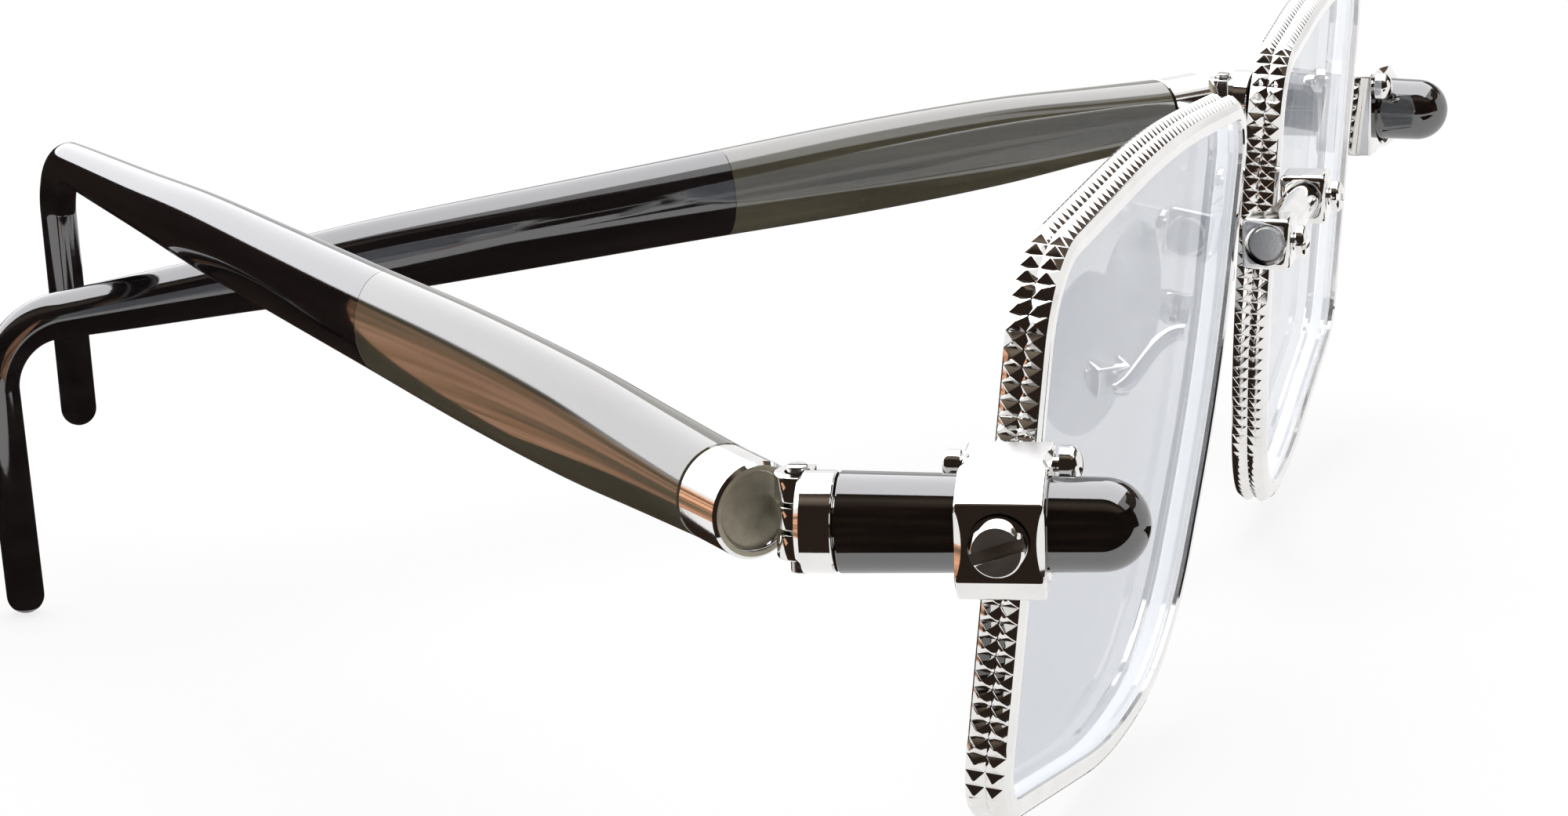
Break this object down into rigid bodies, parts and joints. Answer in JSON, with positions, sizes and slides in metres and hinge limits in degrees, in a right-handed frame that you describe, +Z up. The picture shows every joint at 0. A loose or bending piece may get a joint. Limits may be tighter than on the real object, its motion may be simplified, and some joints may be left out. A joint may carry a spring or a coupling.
{
  "type": "sunglasses",
  "caption": "Sunglasses with studded metal rims, pale lenses, bevelled corner blocks clamping black rods, and folding olive and black temples with hooked tips",
  "frame": {"origin": "bottom centre of the glasses' box in the half-folded rest pose", "axes": "+X to the wearer's left, +Y from the front towards the ears, +Z up"},
  "size_m": [0.1456, 0.1076, 0.0436],
  "materials": {
    "silver": "polished silver metal",
    "steel": "plain steel",
    "lacquer": "gloss black lacquer",
    "olive": "gloss olive acetate",
    "black": "gloss black acetate",
    "lens": "pale blue-grey tint, clear",
    "pad": "translucent soft pad"
  },
  "bodies": {
    "front": {"right_rim": "silver", "right_lens": "lens", "right_end_block": "silver", "right_block_screw": "silver", "right_rim_lug": "silver", "right_lock_screw": "silver", "right_lock_nut": "silver", "right_rod": "lacquer", "right_rod_ferrule": "silver", "right_hinge_pin": "steel", "right_bridge_clamp": "silver", "right_bridge_screw": "silver", "right_pad_arm": "silver", "right_pad_box": "silver", "right_pad_screw": "steel", "left_rim": "silver", "left_lens": "lens", "left_end_block": "silver", "left_block_screw": "silver", "left_rim_lug": "silver", "left_lock_screw": "silver", "left_lock_nut": "silver", "left_rod": "lacquer", "left_rod_ferrule": "silver", "left_hinge_pin": "steel", "left_bridge_clamp": "silver", "left_bridge_screw": "silver", "left_pad_arm": "silver", "left_pad_box": "silver", "left_pad_screw": "steel", "bridge_bar": "silver"},
    "right_temple": {"right_temple_ferrule": "silver", "right_temple_front": "olive", "right_temple_tip": "black", "right_temple_core": "steel"},
    "left_temple": {"left_temple_ferrule": "silver", "left_temple_front": "olive", "left_temple_tip": "black", "left_temple_core": "steel"},
    "right_pad": {"right_nose_pad": "pad"},
    "left_pad": {"left_nose_pad": "pad"}
  },
  "joints": [
    {"name": "right_temple_fold", "type": "hinge", "parent": "front", "child": "right_temple", "pos_m": [-0.06697, -0.03369, 0.02779], "axis": [0.0518, 0.0073, -0.9986], "range_deg": [-50, 34]},
    {"name": "left_temple_fold", "type": "hinge", "parent": "front", "child": "left_temple", "pos_m": [0.06697, -0.03369, 0.02779], "axis": [-0.0518, 0.0073, 0.9986], "range_deg": [-54.1, 36.8]},
    {"name": "right_pad_rock", "type": "hinge", "parent": "front", "child": "right_pad", "pos_m": [-0.0105, -0.03911, 0.02229], "axis": [-0.6157, 0.788, 0], "range_deg": [-6, 6]},
    {"name": "left_pad_rock", "type": "hinge", "parent": "front", "child": "left_pad", "pos_m": [0.0105, -0.03911, 0.02229], "axis": [0.6157, 0.788, 0], "range_deg": [-6, 6]}
  ],
  "couplings": [
    {"joint": "left_temple_fold", "follows": "right_temple_fold", "ratio": 1.08}
  ]
}
